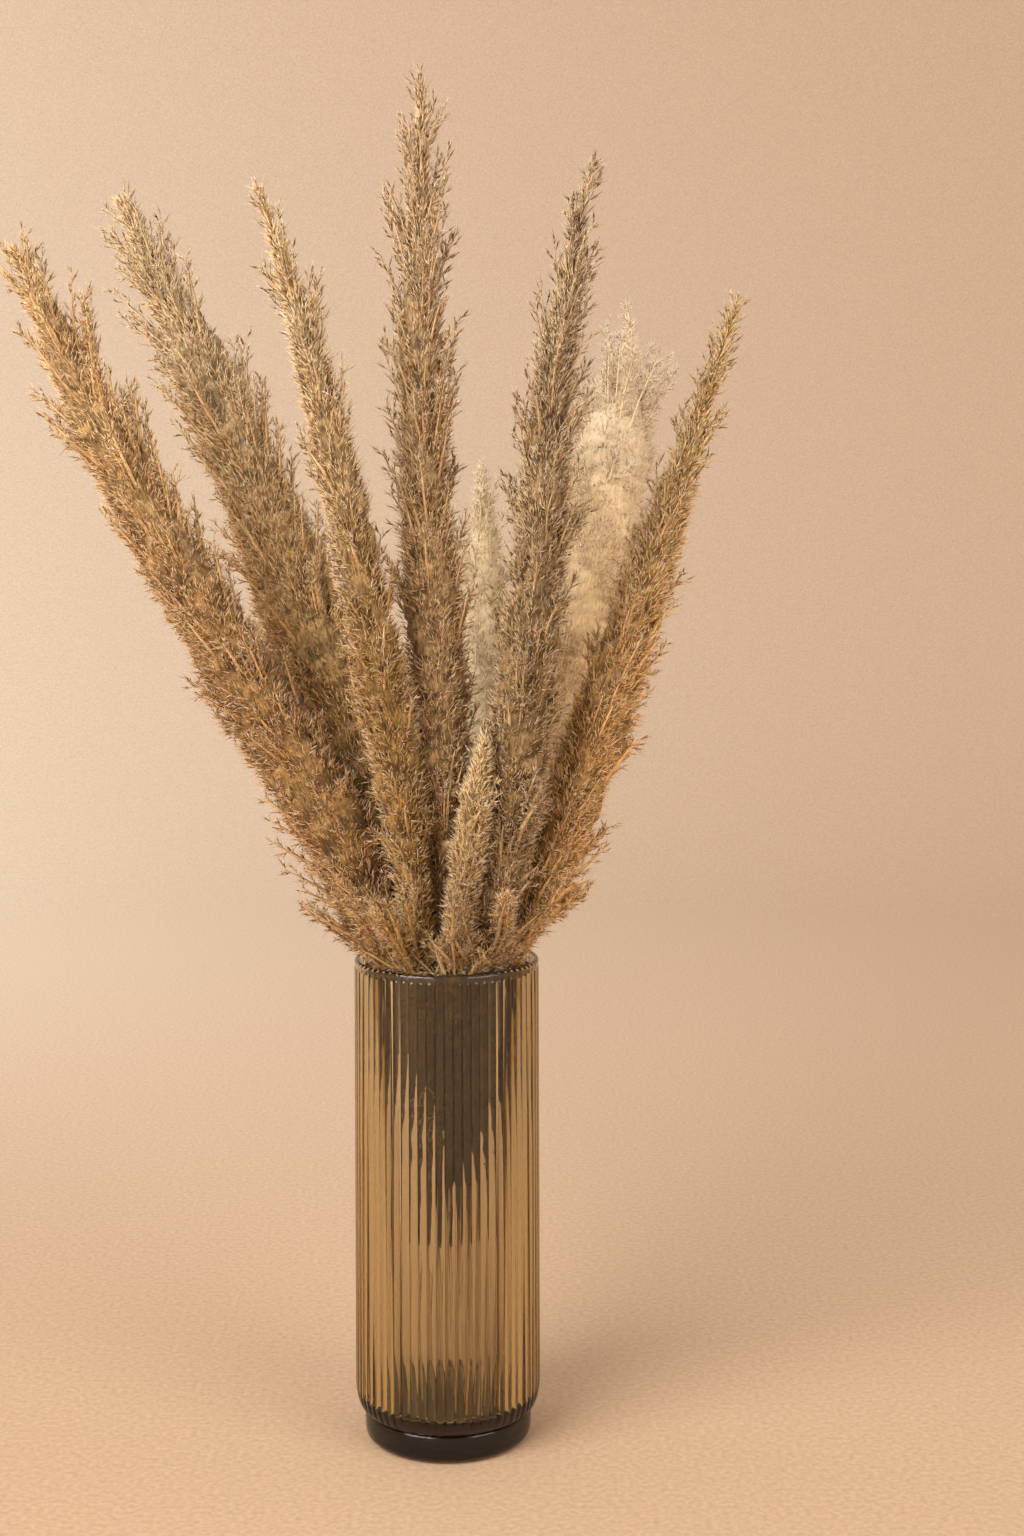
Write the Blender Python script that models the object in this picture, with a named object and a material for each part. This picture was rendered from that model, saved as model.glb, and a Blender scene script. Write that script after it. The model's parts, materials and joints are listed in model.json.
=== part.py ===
# A vase of ribbed smoked glass that holds nine dried pampas plumes on their canes.
# Metres, +Z up. The origin is the middle of the vase's underside, on the surface it stands on.
# The plumes fan out to both sides along X, and the front of the arrangement faces -Y.
import math

import bmesh
import bpy
from mathutils import Vector

# Vase
VASE_HEIGHT = 0.318
BODY_RADIUS = 0.0605        # over the crests of the ribs, just above the shoulder
NECK_RADIUS = 0.0592        # over the crests just under the rim, as the mould has a slight draft
RIBS = 64
RIB_DEPTH = 0.0015
FOOT_RADIUS = 0.0545
FOOT_HEIGHT = 0.0188
FOOT_ROUNDING = 0.0060
SHOULDER_HEIGHT = 0.0380    # where the rounded lower end of the ribbed body becomes straight
LEDGE = 0.0012              # the step between the foot and the ribbed body
ROUNDING_STEPS = 3          # rings over a quarter turn
LOW_RIB_SHARE = 0.4         # depth of the ribs where they start, as a share of their full depth
RIM_HEIGHT = 0.0060         # the smooth band above the ribs
RIM_FADE = 0.2              # share of that band over which the ribs end
BORE_RADIUS = 0.0552
FLOOR_HEIGHT = 0.0270       # top of the thick glass floor
FLOOR_CORNER = 0.0070

# Canes
CANE_FOOT_RADIUS = 0.0024
CANE_NECK_RADIUS = 0.0018
CANE_SIDES = 8
CANE_RINGS = 6
GAP = 0.0003                # left between pieces that rest on each other

# Plumes
CORE_SHARE = 0.46           # radius of the dense middle, as a share of the plume's reach
LOCK_LEAN = math.radians(21)       # from the cane, on the upper locks
LOCK_LEAN_LOW = math.radians(31)   # on the long spreading locks near the neck
NECK_SHARE = 0.34           # width at the neck, as a share of the full width
NECK_LENGTH = 0.30          # share of the plume's length over which it widens
TIP_LENGTH = 0.22           # share of the length over which it tapers to its tip
UPPER_SHARE = 0.78          # width where the tip begins, as a share of the full width
CROWD_TOP = 0.500           # height above which the plumes no longer press on each other
CORE_SQUEEZE = 0.55         # what the press leaves of the dense middle at the mouth of the vase
LOCK_SQUEEZE = 0.62         # and of the locks there that face the other plumes
SPREAD_LENGTH = 0.50        # share of the plume's length that has the long spreading locks
SPREAD_GAIN = 1.6           # how soon they reach their full length going down
LEAST_LOCK = 1.25           # reach of the shortest lock, as a share of the dense middle's radius
UPRIGHT = 0.050             # a plume whose tip is nearer than this to above its neck has no outer side
PLUME_SIDES = 8

# Each cane stands at "foot" on the vase floor, and its plume runs through "way" from neck to tip.
# "width" is the plume's reach from its middle line, "spread" the reach of its low outer locks,
# and "rows" the rows of locks up the plume.
PLUMES = {
    "far_left": {
        "foot": (0.030, -0.024),
        "way": [(-0.022, -0.006, 0.286), (-0.056, -0.010, 0.386), (-0.141, -0.028, 0.527),
                (-0.211, -0.046, 0.664), (-0.257, -0.060, 0.768)],
        "width": 0.028, "spread": 0.066, "rows": 15, "colour": (0.42, 0.22, 0.09)},
    "left": {
        "foot": (0.033, 0.015),
        "way": [(-0.016, 0.020, 0.288), (-0.036, 0.029, 0.390), (-0.083, 0.043, 0.506),
                (-0.145, 0.062, 0.661), (-0.221, 0.080, 0.816)],
        "width": 0.038, "spread": 0.046, "rows": 15, "colour": (0.42, 0.25, 0.12)},
    "centre_left": {
        "foot": (0.018, -0.036),
        "way": [(-0.012, -0.025, 0.288), (-0.024, -0.034, 0.412), (-0.048, -0.059, 0.561),
                (-0.078, -0.083, 0.701), (-0.106, -0.100, 0.797)],
        "width": 0.020, "spread": 0.024, "rows": 15, "colour": (0.54, 0.34, 0.17)},
    "centre": {
        "foot": (0.015, -0.002),
        "way": [(-0.001, -0.008, 0.290), (-0.004, -0.017, 0.472), (-0.013, -0.029, 0.669),
                (-0.011, -0.040, 0.866)],
        "width": 0.026, "spread": 0.026, "rows": 16, "colour": (0.38, 0.22, 0.10)},
    "centre_right": {
        "foot": (-0.018, -0.015),
        "way": [(0.020, -0.024, 0.290), (0.038, -0.032, 0.392), (0.056, -0.053, 0.549),
                (0.067, -0.072, 0.684), (0.088, -0.090, 0.803)],
        "width": 0.027, "spread": 0.029, "rows": 15, "colour": (0.35, 0.21, 0.10)},
    "pale_right": {
        "foot": (0.010, 0.030),
        "way": [(0.022, 0.024, 0.292), (0.049, 0.046, 0.385), (0.095, 0.104, 0.569),
                (0.112, 0.128, 0.655), (0.126, 0.150, 0.742)],
        "width": 0.038, "spread": 0.038, "rows": 13, "colour": (0.69, 0.49, 0.30)},
    "right": {
        "foot": (-0.010, 0.004),
        "way": [(0.028, 0.002, 0.288), (0.060, -0.001, 0.368), (0.110, -0.004, 0.505),
                (0.156, -0.008, 0.652), (0.183, -0.010, 0.737)],
        "width": 0.024, "spread": 0.036, "rows": 14, "colour": (0.45, 0.27, 0.12)},
    "pale_centre": {
        "foot": (0.016, 0.038),
        "way": [(0.004, 0.034, 0.294), (0.014, 0.055, 0.379), (0.022, 0.106, 0.556),
                (0.020, 0.130, 0.641)],
        "width": 0.017, "spread": 0.017, "rows": 11, "colour": (0.64, 0.44, 0.25)},
    "short": {
        "foot": (0.034, 0.000),
        "way": [(0.006, -0.038, 0.296), (0.014, -0.047, 0.380), (0.026, -0.062, 0.468)],
        "width": 0.013, "spread": 0.015, "rows": 7, "colour": (0.50, 0.30, 0.12)},
}


def smooth_path(points, count, first=0, last=None):
    # Evenly spaced points of the smooth curve through the given ones, from knot first to knot last.
    knots = [Vector(p) for p in points]
    gaps = [(b - a).length for a, b in zip(knots, knots[1:])]
    slopes = [(knots[1] - knots[0]) / gaps[0]]
    for k in range(1, len(knots) - 1):
        before = (knots[k] - knots[k - 1]) / gaps[k - 1]
        after = (knots[k + 1] - knots[k]) / gaps[k]
        slopes.append((before * gaps[k] + after * gaps[k - 1]) / (gaps[k] + gaps[k - 1]))
    slopes.append((knots[-1] - knots[-2]) / gaps[-1])
    start, stop = sum(gaps[:first]), sum(gaps[:last])
    path = []
    for step in range(count):
        along = start + (stop - start) * step / (count - 1)
        k = 0
        while k < len(gaps) - 1 and along > gaps[k]:
            along -= gaps[k]
            k += 1
        u = min(along / gaps[k], 1.0)
        here = knots[k] * (2 * u**3 - 3 * u**2 + 1) + slopes[k] * gaps[k] * (u**3 - 2 * u**2 + u)
        path.append(here + knots[k + 1] * (3 * u**2 - 2 * u**3) + slopes[k + 1] * gaps[k] * (u**3 - u**2))
    return path


def frames(path):
    # A tangent and two sideways directions at each point, carried along without twisting.
    last = len(path) - 1
    side = Vector((1, 0, 0))
    result = []
    for k, point in enumerate(path):
        tangent = (path[min(k + 1, last)] - path[max(k - 1, 0)]).normalized()
        side = (side - tangent * side.dot(tangent)).normalized()
        result.append((point, tangent, side, tangent.cross(side)))
    return result


def ring(bm, frame, radius, sides):
    point, _, side, other = frame
    corners = []
    for k in range(sides):
        angle = 2 * math.pi * k / sides
        corners.append(bm.verts.new(point + (side * math.cos(angle) + other * math.sin(angle)) * radius))
    return corners


def finish(bm, name, material, angle=35):
    mesh = bpy.data.meshes.new(name)
    bm.normal_update()
    bm.to_mesh(mesh)
    bm.free()
    mesh.shade_smooth()
    mesh.set_sharp_from_angle(angle=math.radians(angle))
    mesh.materials.append(material)
    piece = bpy.data.objects.new(name, mesh)
    bpy.context.collection.objects.link(piece)
    return piece


def surface(name, colour, roughness, transmission=0.0):
    material = bpy.data.materials.new(name)
    material.use_nodes = True
    shader = material.node_tree.nodes["Principled BSDF"]
    shader.inputs["Base Color"].default_value = (*colour, 1)
    shader.inputs["Roughness"].default_value = roughness
    shader.inputs["Metallic"].default_value = 0.0
    shader.inputs["Transmission Weight"].default_value = transmission
    return material


def round_ring(bm, radius, z):
    corners = []
    for k in range(RIBS):
        angle = 2 * math.pi * k / RIBS
        corners.append(bm.verts.new((radius * math.cos(angle), radius * math.sin(angle), z)))
    return corners


def ribbed_ring(bm, crest, z, depth):
    # Three points a rib: the valley, then the two shoulders of the rounded crest.
    corners = []
    for k in range(RIBS):
        for share, drop in ((0, depth), (1 / 3, 0), (2 / 3, 0)):
            angle = 2 * math.pi * (k + share) / RIBS
            radius = crest - drop
            corners.append(bm.verts.new((radius * math.cos(angle), radius * math.sin(angle), z)))
    return corners


def band(bm, lower, upper):
    # Quads between two rings of the same count, facing away from the axis when listed upwards.
    count = len(lower)
    for k in range(count):
        n = (k + 1) % count
        bm.faces.new((lower[k], lower[n], upper[n], upper[k]))


def rib_ends(bm, plain, ribbed, ribs_above):
    # Joins a plain ring to a ribbed one, where the ribs start or end.
    for k in range(RIBS):
        n = (k + 1) % RIBS
        valley, left, right, after = ribbed[3 * k], ribbed[3 * k + 1], ribbed[3 * k + 2], ribbed[3 * n]
        faces = ((plain[k], left, valley), (plain[k], plain[n], right, left), (plain[n], after, right))
        for face in faces:
            bm.faces.new(face if ribs_above else face[::-1])


def make_vase():
    bm = bmesh.new()
    glass = surface("smoked_glass", (0.20, 0.11, 0.045), 0.05, 0.9)

    # Foot: a flat underside, a rounded edge and a plain wall.
    rings = []
    for k in range(ROUNDING_STEPS + 1):
        turn = math.pi / 2 * k / ROUNDING_STEPS
        rings.append(round_ring(bm, FOOT_RADIUS - FOOT_ROUNDING * (1 - math.sin(turn)),
                                FOOT_ROUNDING * (1 - math.cos(turn))))
    rings.append(round_ring(bm, FOOT_RADIUS, FOOT_HEIGHT))
    rings.append(round_ring(bm, FOOT_RADIUS - LEDGE, FOOT_HEIGHT + LEDGE / 2))
    bm.faces.new(rings[0][::-1])
    for lower, upper in zip(rings, rings[1:]):
        band(bm, lower, upper)

    # Rounded shoulder, a quarter of an ellipse, then the straight ribbed wall.
    start = FOOT_HEIGHT + LEDGE
    ribbed = []
    for k in range(ROUNDING_STEPS + 1):
        turn = math.pi / 2 * k / ROUNDING_STEPS
        crest = FOOT_RADIUS + (BODY_RADIUS - FOOT_RADIUS) * math.sin(turn)
        height = SHOULDER_HEIGHT - (SHOULDER_HEIGHT - start) * math.cos(turn)
        depth = RIB_DEPTH * (LOW_RIB_SHARE + (1 - LOW_RIB_SHARE) * math.sin(turn))
        ribbed.append(ribbed_ring(bm, crest, height, depth))
    ribbed.append(ribbed_ring(bm, NECK_RADIUS, VASE_HEIGHT - RIM_HEIGHT, RIB_DEPTH))
    rib_ends(bm, rings[-1], ribbed[0], True)
    for lower, upper in zip(ribbed, ribbed[1:]):
        band(bm, lower, upper)

    # Smooth rim with a rounded lip, then down the bore to the floor.
    lip = (NECK_RADIUS - BORE_RADIUS) / 2
    middle = BORE_RADIUS + lip
    rim = [round_ring(bm, NECK_RADIUS - RIB_DEPTH / 2, VASE_HEIGHT - RIM_HEIGHT * (1 - RIM_FADE))]
    for k in range(ROUNDING_STEPS + 2):
        turn = math.pi * k / (ROUNDING_STEPS + 1)
        rim.append(round_ring(bm, middle + lip * math.cos(turn), VASE_HEIGHT - lip + lip * math.sin(turn)))
    rib_ends(bm, rim[0], ribbed[-1], False)
    for k in range(ROUNDING_STEPS):
        turn = math.pi / 2 * k / (ROUNDING_STEPS - 1)
        rim.append(round_ring(bm, BORE_RADIUS - FLOOR_CORNER * (1 - math.cos(turn)),
                              FLOOR_HEIGHT + FLOOR_CORNER * (1 - math.sin(turn))))
    for outer, inner in zip(rim, rim[1:]):
        band(bm, outer, inner)
    bm.faces.new(rim[-1])
    return finish(bm, "vase", glass)


def plume_width(share):
    # Narrow at the neck, full in the middle and drawn to a point at the tip.
    neck = NECK_SHARE + (1 - NECK_SHARE) * min(1.0, share / NECK_LENGTH)
    upper = 1 - (1 - UPPER_SHARE) * max(0.0, (share - NECK_LENGTH) / (1 - NECK_LENGTH))
    tip = min(1.0, (1 - share) / TIP_LENGTH) ** 0.6
    return neck * upper * tip


def crowding(height):
    # 0 at the mouth of the vase, where the plumes press together, and 1 where they part.
    return min(1.0, max(0.0, (height - VASE_HEIGHT) / (CROWD_TOP - VASE_HEIGHT)))


def cane_points(spec):
    # The whole cane: its foot on the vase floor, then the plume's line from neck to tip.
    return [(*spec["foot"], FLOOR_HEIGHT + GAP), *spec["way"]]


def make_cane(name, spec, dry):
    # The bare cane, from the vase floor to the neck of its plume.
    path = smooth_path(cane_points(spec), CANE_RINGS, 0, 1)
    path[-1].z -= GAP
    bm = bmesh.new()
    rings = []
    for k, (point, tangent, side, other) in enumerate(frames(path)):
        if k in (0, CANE_RINGS - 1):
            tangent, side, other = Vector((0, 0, 1)), Vector((1, 0, 0)), Vector((0, 1, 0))
        share = k / (CANE_RINGS - 1)
        radius = CANE_FOOT_RADIUS + (CANE_NECK_RADIUS - CANE_FOOT_RADIUS) * share
        rings.append(ring(bm, (point, tangent, side, other), radius, CANE_SIDES))
    bm.faces.new(rings[0][::-1])
    bm.faces.new(rings[-1])
    for lower, upper in zip(rings, rings[1:]):
        band(bm, lower, upper)
    return finish(bm, "stem_" + name, dry, 50)


def make_plume(name, spec):
    # A dense middle that tapers, with every second face of its wall drawn out into a pointed lock.
    rows = spec["rows"]
    path = smooth_path(cane_points(spec), rows + 2, 1)
    lean = (path[-1] - path[0]) * Vector((1, 1, 0))
    outward = lean.normalized() if lean.length > UPRIGHT else Vector((0, 0, 0))
    bm = bmesh.new()
    rings = []
    bases = frames(path)
    bases[0] = (path[0], Vector((0, 0, 1)), Vector((1, 0, 0)), Vector((0, 1, 0)))
    for k in range(rows + 1):
        share = k / (rows + 1)
        squeeze = CORE_SQUEEZE + (1 - CORE_SQUEEZE) * crowding(path[k].z)
        radius = spec["width"] * CORE_SHARE * plume_width(share) * squeeze
        rings.append(ring(bm, bases[k], radius, PLUME_SIDES))
    bm.faces.new(rings[0][::-1])
    for row in range(rows):
        low, high = rings[row], rings[row + 1]
        share = (row + 0.5) / (rows + 1)
        tangent = (path[row + 1] - path[row]).normalized()
        middle = (path[row] + path[row + 1]) / 2
        free = crowding(middle.z)
        for k in range(PLUME_SIDES):
            n = (k + 1) % PLUME_SIDES
            corners = (low[k], low[n], high[n], high[k])
            if (row + k) % 2:
                bm.faces.new(corners)
                continue
            centre = sum((v.co for v in corners), Vector()) / 4
            away = centre - middle
            core = away.length
            away.normalize()
            facing = max(0.0, away.dot(outward))
            low_part = max(0.0, 1 - share / SPREAD_LENGTH)
            squeeze = LOCK_SQUEEZE + (1 - LOCK_SQUEEZE) * max(free, facing)
            reach = spec["width"] * plume_width(share) * squeeze
            reach += (spec["spread"] - spec["width"]) * facing**2 * min(1.0, low_part * SPREAD_GAIN)
            reach = max(reach, core * LEAST_LOCK)
            angle = LOCK_LEAN + (LOCK_LEAN_LOW - LOCK_LEAN) * facing * low_part
            length = (reach - core) / math.sin(angle)
            tip = bm.verts.new(centre + away * (reach - core) + tangent * length * math.cos(angle))
            for a, b in zip(corners, corners[1:] + corners[:1]):
                bm.faces.new((a, b, tip))
    tip = bm.verts.new(path[-1])
    for k in range(PLUME_SIDES):
        bm.faces.new((rings[-1][k], rings[-1][(k + 1) % PLUME_SIDES], tip))
    dry = surface("plume_" + name, spec["colour"], 0.85)
    return finish(bm, "plume_" + name, dry, 25)


def main():
    for piece in list(bpy.data.objects):
        bpy.data.objects.remove(piece, do_unlink=True)
    make_vase()
    straw = surface("dry_cane", (0.45, 0.30, 0.14), 0.6)
    for name, spec in PLUMES.items():
        make_cane(name, spec, straw)
        make_plume(name, spec)


main()
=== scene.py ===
# A vase of ribbed smoked glass with nine dried pampas plumes, in metres, +Z up, front at -Y.
import bmesh
import bpy
import json
import math
import numpy as np
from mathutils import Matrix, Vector

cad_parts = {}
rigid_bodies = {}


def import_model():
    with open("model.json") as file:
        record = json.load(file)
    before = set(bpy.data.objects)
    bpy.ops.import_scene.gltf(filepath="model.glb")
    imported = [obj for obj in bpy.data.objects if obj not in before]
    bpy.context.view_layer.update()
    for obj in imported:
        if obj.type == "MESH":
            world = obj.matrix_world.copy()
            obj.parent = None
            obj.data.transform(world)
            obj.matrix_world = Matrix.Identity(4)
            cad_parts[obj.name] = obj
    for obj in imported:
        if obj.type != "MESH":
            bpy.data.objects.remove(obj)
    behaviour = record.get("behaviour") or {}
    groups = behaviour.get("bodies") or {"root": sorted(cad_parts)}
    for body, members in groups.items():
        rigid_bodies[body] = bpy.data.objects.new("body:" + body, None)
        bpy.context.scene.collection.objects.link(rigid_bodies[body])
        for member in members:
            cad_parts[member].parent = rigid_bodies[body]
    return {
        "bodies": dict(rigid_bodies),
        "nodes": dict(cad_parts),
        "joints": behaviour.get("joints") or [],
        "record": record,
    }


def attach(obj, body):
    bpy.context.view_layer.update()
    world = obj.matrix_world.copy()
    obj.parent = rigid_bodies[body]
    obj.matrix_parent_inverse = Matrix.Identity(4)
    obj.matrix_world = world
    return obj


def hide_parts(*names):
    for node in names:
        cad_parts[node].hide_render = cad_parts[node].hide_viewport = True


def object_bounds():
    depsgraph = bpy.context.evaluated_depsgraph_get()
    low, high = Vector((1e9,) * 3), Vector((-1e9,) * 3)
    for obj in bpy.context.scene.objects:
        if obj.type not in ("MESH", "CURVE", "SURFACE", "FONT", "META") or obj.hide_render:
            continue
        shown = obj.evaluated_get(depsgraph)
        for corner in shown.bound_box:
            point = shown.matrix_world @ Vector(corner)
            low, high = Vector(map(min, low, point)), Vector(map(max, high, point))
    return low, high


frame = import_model()
cadLow, cadHigh = [np.array(corner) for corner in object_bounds()]

# Small helpers


def deselectAll():
    if bpy.context.mode != "OBJECT":
        bpy.ops.object.mode_set(mode="OBJECT")
    bpy.ops.object.select_all(action="DESELECT")


def linearColor(hexCode, alpha=1.0):
    # sRGB hex to the linear values that shader sockets hold
    parts = [int(hexCode[i:i + 2], 16) / 255 for i in (1, 3, 5)]
    return [c / 12.92 if c <= 0.04045 else ((c + 0.055) / 1.055) ** 2.4 for c in parts] + [alpha]


def startMaterial(name):
    material = bpy.data.materials.new(name)
    material.use_nodes = True
    material.node_tree.nodes.clear()
    return material


def addNode(material, kind, settings=None, values=None, links=None):
    # settings are the node's own fields, values its socket numbers, links (socket, node, output)
    node = material.node_tree.nodes.new("ShaderNode" + kind)
    for key, value in (settings or {}).items():
        setattr(node, key, value)
    for key, value in (values or {}).items():
        node.inputs[key].default_value = value
    for socket, source, output in links or ():
        material.node_tree.links.new(source.outputs[output], node.inputs[socket])
    return node


def fillRamp(node, stops):
    ramp = node.color_ramp
    while len(ramp.elements) > 1:
        ramp.elements.remove(ramp.elements[-1])
    ramp.elements[0].position = stops[0][0]
    ramp.elements[0].color = linearColor(stops[0][1])
    for position, hexCode in stops[1:]:
        ramp.elements.new(position).color = linearColor(hexCode)


# Camera: the photograph's angle, level with the middle of the plumes and tipped down to the vase
camera = {
    "place": (0.042, -1.325, 0.598),
    "tipDown": 6.8,          # degrees
    "focal": 49.2,           # mm on a 36 mm long side
}


def addCamera():
    deselectAll()
    bpy.ops.object.camera_add(location=camera["place"],
                              rotation=(math.radians(90 - camera["tipDown"]), 0, 0))
    cam = bpy.context.object
    cam.name = "photoCamera"
    cam.data.lens = camera["focal"]
    cam.data.sensor_width = 36
    cam.data.clip_start = 0.05
    bpy.context.scene.camera = cam
    print("camera placed")


# Studio: a beige floor that curves up all round, a big soft light at the left, a weak one at the right
# and one on the backdrop
studio = {
    "sides": 96,
    "floorRadius": 1.9,
    "wallRadius": 3.9,
    "wallHeight": 3.4,
    "sweepSteps": 16,
    "paper": "#d4b48e",
    "paperDark": "#c2a27d",
    "worldColor": "#f4f4ff",
    "worldStrength": 0.70,
    "lamps": {
        "key": {"place": (-1.5, -1.7, 1.75), "aim": (0, 0, 0.42), "size": 2.2, "power": 88,
                "color": "#fbf8ff"},
        "fill": {"place": (1.8, -1.6, 1.3), "aim": (0, 0, 0.42), "size": 1.8, "power": 30,
                 "color": "#fbf8ff"},
        # brightens the backdrop at the left, and the plumes' left edges
        "wall": {"place": (-1.9, 0.9, 1.7), "aim": (-1.2, 3.6, 0.9), "size": 1.2, "power": 100,
                 "color": "#b6d6ff"},
    },
}


def paperMaterial():
    # seamless background paper: matt, with a faint fibre that keeps it from looking like plastic;
    # real fibre is too fine to show, so it is drawn about 4 mm coarse
    material = startMaterial("seamlessPaper")
    place = addNode(material, "TexCoord")
    fibre = addNode(material, "TexNoise", values={"Scale": 260.0, "Detail": 3.0},
                    links=[("Vector", place, "Object")])
    speckle = addNode(material, "ValToRGB", links=[("Fac", fibre, "Fac")])
    fillRamp(speckle, [(0.30, studio["paperDark"]), (0.70, studio["paper"])])
    bump = addNode(material, "Bump", values={"Strength": 0.12, "Distance": 0.0006},
                   links=[("Height", fibre, "Fac")])
    shader = addNode(material, "BsdfPrincipled",
                     values={"Roughness": 0.85, "Specular IOR Level": 0.2},
                     links=[("Base Color", speckle, "Color"), ("Normal", bump, "Normal")])
    addNode(material, "OutputMaterial", links=[("Surface", shader, "BSDF")])
    return material


def addStudio():
    deselectAll()
    bpy.ops.mesh.primitive_circle_add(vertices=studio["sides"], radius=studio["floorRadius"],
                                      fill_type="NGON")
    floor = bpy.context.object
    floor.name = "studioFloor"
    bpy.ops.object.mode_set(mode="EDIT")
    bpy.ops.mesh.select_mode(type="EDGE")
    bpy.ops.mesh.select_all(action="SELECT")
    bpy.ops.mesh.region_to_loop()
    sweep = studio["wallRadius"] - studio["floorRadius"]
    radius = studio["floorRadius"]
    height = 0.0
    for step in range(1, studio["sweepSteps"] + 1):
        turn = math.radians(90) * step / studio["sweepSteps"]
        newRadius = studio["floorRadius"] + sweep * math.sin(turn)
        newHeight = sweep * (1 - math.cos(turn))
        bpy.ops.mesh.extrude_region_move(TRANSFORM_OT_translate={"value": (0, 0, newHeight - height)})
        bpy.ops.transform.resize(value=(newRadius / radius, newRadius / radius, 1),
                                 center_override=(0, 0, 0))
        radius, height = newRadius, newHeight
    bpy.ops.mesh.extrude_region_move(
        TRANSFORM_OT_translate={"value": (0, 0, studio["wallHeight"] - height)})
    bpy.ops.object.mode_set(mode="OBJECT")
    bpy.ops.object.shade_smooth()
    floor.data.materials.append(paperMaterial())

    world = bpy.data.worlds.new("studioWorld")
    bpy.context.scene.world = world
    world.use_nodes = True
    sky = world.node_tree.nodes["Background"]
    sky.inputs["Color"].default_value = linearColor(studio["worldColor"])
    sky.inputs["Strength"].default_value = studio["worldStrength"]

    for name, given in studio["lamps"].items():
        deselectAll()
        bpy.ops.object.light_add(type="AREA", location=given["place"])
        lamp = bpy.context.object
        lamp.name = name + "Light"
        lamp.data.shape = "DISK"
        lamp.data.size = given["size"]
        lamp.data.energy = given["power"]
        lamp.data.color = linearColor(given["color"])[:3]
        lamp.visible_camera = False
        aim = Vector(given["aim"]) - lamp.location
        lamp.rotation_euler = aim.to_track_quat("-Z", "Y").to_euler()
    bpy.context.scene.view_settings.view_transform = "Standard"
    print("studio built")


# Vase: moulded smoked-amber glass, 64 round ribs outside and smooth inside
vase = {
    "height": 0.318,
    "bodyRadius": 0.0605,
    "neckRadius": 0.0592,
    "ribs": 64,
    "ribDepth": 0.0015,
    "ribCrest": 2.8,         # the higher, the flatter a rib's round crest between its sharp valleys
    "lowRibShare": 0.4,      # share of the ribs' depth where they end above the foot
    "footRadius": 0.0545,
    "footHeight": 0.0188,
    "footRounding": 0.0060,
    "footRing": 0.030,       # radius of a ring partway along the flat underside
    "shoulderHeight": 0.0380,
    "ledge": 0.0012,
    "rimHeight": 0.0060,
    "boreRadius": 0.0552,
    "floorHeight": 0.0270,
    "floorCorner": 0.0070,
    "floorRing": 0.025,      # and of one along the floor
    "ribSteps": 8,           # faces across one rib
    "tint": "#d8c15d",
    "tintDensity": 118.0,    # how strongly the glass takes up light, per metre
}


def vaseProfile():
    # (radius, height, share of the rib depth) from the middle of the underside to that of the floor
    v = vase
    points = [(0, 0, 0), (v["footRing"], 0, 0)]
    for k in range(7):
        turn = math.pi / 2 * k / 6
        points.append((v["footRadius"] - v["footRounding"] * (1 - math.sin(turn)),
                       v["footRounding"] * (1 - math.cos(turn)), 0))
    points.append((v["footRadius"], v["footHeight"] - 0.0008, 0))
    points.append((v["footRadius"] - 0.0003, v["footHeight"] - 0.0002, 0))
    points.append((v["footRadius"] - v["ledge"], v["footHeight"] + v["ledge"] / 2, 0))
    start = v["footHeight"] + v["ledge"]
    for k in range(10):
        turn = math.pi / 2 * k / 9
        crest = v["footRadius"] + (v["bodyRadius"] - v["footRadius"]) * math.sin(turn)
        height = v["shoulderHeight"] - (v["shoulderHeight"] - start) * math.cos(turn)
        points.append((crest, height, v["lowRibShare"] + (1 - v["lowRibShare"]) * math.sin(turn)))
    ribTop = v["height"] - v["rimHeight"]
    for k in range(1, 7):
        share = k / 6
        points.append((v["bodyRadius"] + (v["neckRadius"] - v["bodyRadius"]) * share,
                       v["shoulderHeight"] + (ribTop - v["shoulderHeight"]) * share, 1))
    points.append((v["neckRadius"] - 0.0002, ribTop + 0.0008, 0.55))
    points.append((v["neckRadius"] - 0.0005, ribTop + 0.0014, 0.1))
    lip = (v["neckRadius"] - v["boreRadius"]) / 2
    for k in range(11):
        turn = math.pi * k / 10
        points.append((v["boreRadius"] + lip + lip * math.cos(turn),
                       v["height"] - lip + lip * math.sin(turn), 0))
    top = v["height"] - lip
    down = v["floorHeight"] + v["floorCorner"] - v["height"] + lip
    for share in (0.25, 0.5, 0.75):
        points.append((v["boreRadius"], top + down * share, 0))
    for k in range(7):
        turn = math.pi / 2 * k / 6
        points.append((v["boreRadius"] - v["floorCorner"] * (1 - math.cos(turn)),
                       v["floorHeight"] + v["floorCorner"] * (1 - math.sin(turn)), 0))
    points.append((v["floorRing"], v["floorHeight"], 0))
    points.append((0, v["floorHeight"], 0))
    return points


def selectWhere(piece, test):
    mesh = bmesh.from_edit_mesh(piece.data)
    for vert in mesh.verts:
        vert.select = test(vert.co)
    mesh.select_flush(True)
    bmesh.update_edit_mesh(piece.data)


def glassMaterial():
    # soda-lime glass, coloured brown in the melt and pressed in a ribbed mould: clear and glossy,
    # pale where it is thin and nearly black through the thick foot
    material = startMaterial("smokedSodaLimeGlass")
    shader = addNode(material, "BsdfPrincipled",
                     values={"Base Color": (1, 1, 1, 1), "Roughness": 0.015, "IOR": 1.52,
                             "Transmission Weight": 1.0})
    tint = addNode(material, "VolumeAbsorption",
                   values={"Color": linearColor(vase["tint"]), "Density": vase["tintDensity"]})
    addNode(material, "OutputMaterial",
            links=[("Surface", shader, "BSDF"), ("Volume", tint, "Volume")])
    return material


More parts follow.
